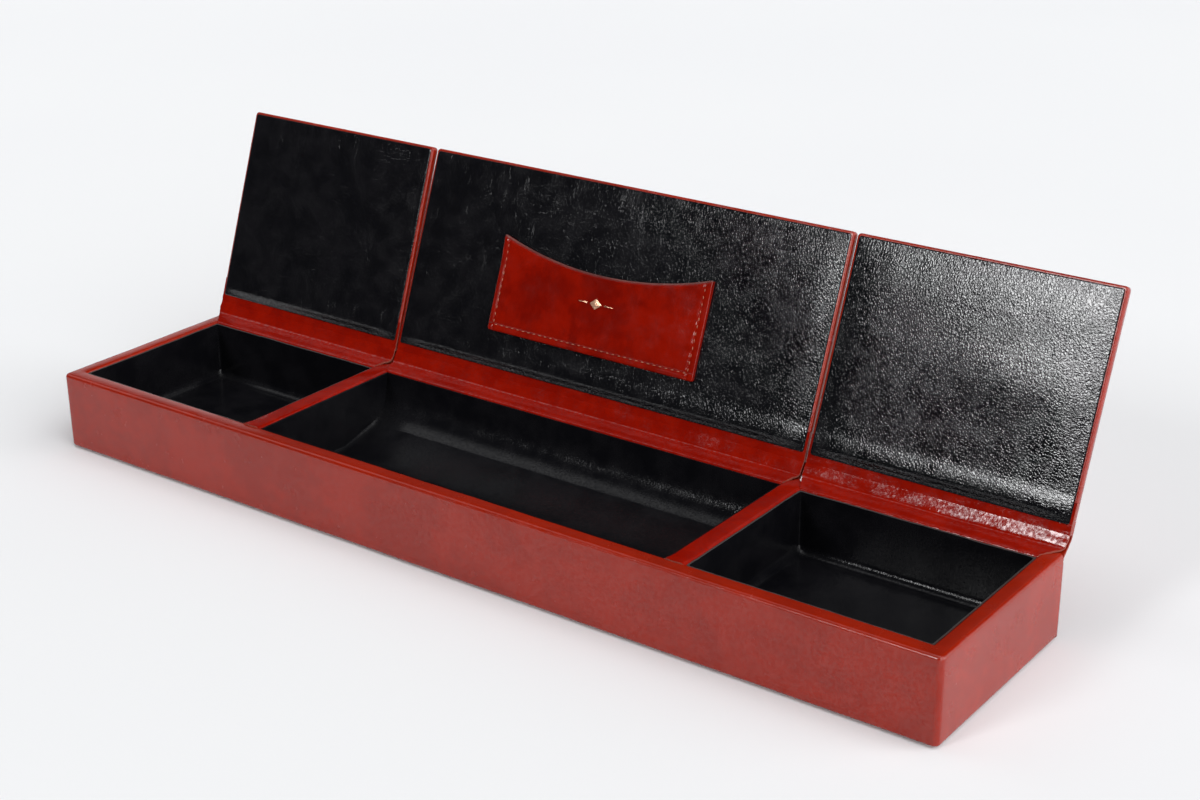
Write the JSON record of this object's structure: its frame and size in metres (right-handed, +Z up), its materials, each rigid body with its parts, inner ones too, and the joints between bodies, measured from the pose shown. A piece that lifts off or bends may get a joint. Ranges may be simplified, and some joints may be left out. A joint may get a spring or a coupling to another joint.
{
  "type": "leather desk box with card pocket",
  "caption": "Long leather-covered desk box: tray compartments with a round-bottomed trough between, separate lids on leather hinges, and a stitched card pocket inside the middle lid.",
  "frame": {"origin": "centre of the base felt's underside, on the table", "axes": "+X along the length towards the right compartment, -Y out of the open front, +Z up"},
  "size_m": [0.42, 0.1295, 0.1228],
  "materials": {
    "outer_leather": "gloss",
    "rim_leather": "gloss",
    "pocket_leather": "gloss",
    "lining_leather": "satin",
    "case_board": "matte",
    "card": "matte",
    "lid_padding": "matte",
    "base_felt": "matte",
    "thread": "matte",
    "gold_foil": "satin"
  },
  "bodies": {
    "box": {"base_felt": "base_felt", "base_infill_card": "card", "bottom_board": "case_board", "front_wall_board": "case_board", "back_wall_board": "case_board", "body_wrap_leather": "outer_leather", "back_wall_leather": "outer_leather", "trough_former": "case_board", "trough_lining": "lining_leather", "left_end_board": "case_board", "left_divider_board": "case_board", "left_divider_leather": "rim_leather", "left_wall_lining": "lining_leather", "left_floor_card": "card", "left_floor_lining": "lining_leather", "trough_left_end_lining": "lining_leather", "right_end_board": "case_board", "right_divider_board": "case_board", "right_divider_leather": "rim_leather", "right_wall_lining": "lining_leather", "right_floor_card": "card", "right_floor_lining": "lining_leather", "trough_right_end_lining": "lining_leather", "left_inner_hinge": "rim_leather", "left_outer_hinge": "rim_leather", "centre_inner_hinge": "rim_leather", "centre_outer_hinge": "rim_leather", "right_inner_hinge": "rim_leather", "right_outer_hinge": "rim_leather"},
    "left_lid": {"left_lid_board": "case_board", "left_lid_padding": "lid_padding", "left_lid_cover": "rim_leather", "left_lid_lining": "lining_leather"},
    "centre_lid": {"centre_lid_board": "case_board", "centre_lid_padding": "lid_padding", "centre_lid_cover": "rim_leather", "centre_lid_lining": "lining_leather", "card_pocket_hem": "pocket_leather", "card_pocket_panel": "pocket_leather", "card_pocket_stitching": "thread", "card_pocket_foil_ornament": "gold_foil"},
    "right_lid": {"right_lid_board": "case_board", "right_lid_padding": "lid_padding", "right_lid_cover": "rim_leather", "right_lid_lining": "lining_leather"}
  },
  "joints": [
    {"name": "left_lid_hinge", "type": "hinge", "parent": "box", "child": "left_lid", "pos_m": [-0.15665, 0.0473, 0.0357], "axis": [1, 0, 0], "range_deg": [0, 110.2], "deforming": ["left_inner_hinge", "left_outer_hinge"]},
    {"name": "centre_lid_hinge", "type": "hinge", "parent": "box", "child": "centre_lid", "pos_m": [0, 0.0473, 0.0357], "axis": [1, 0, 0], "range_deg": [0, 111.3], "deforming": ["centre_inner_hinge", "centre_outer_hinge"]},
    {"name": "right_lid_hinge", "type": "hinge", "parent": "box", "child": "right_lid", "pos_m": [0.15665, 0.0473, 0.0357], "axis": [1, 0, 0], "range_deg": [0, 111.8], "deforming": ["right_inner_hinge", "right_outer_hinge"]}
  ]
}
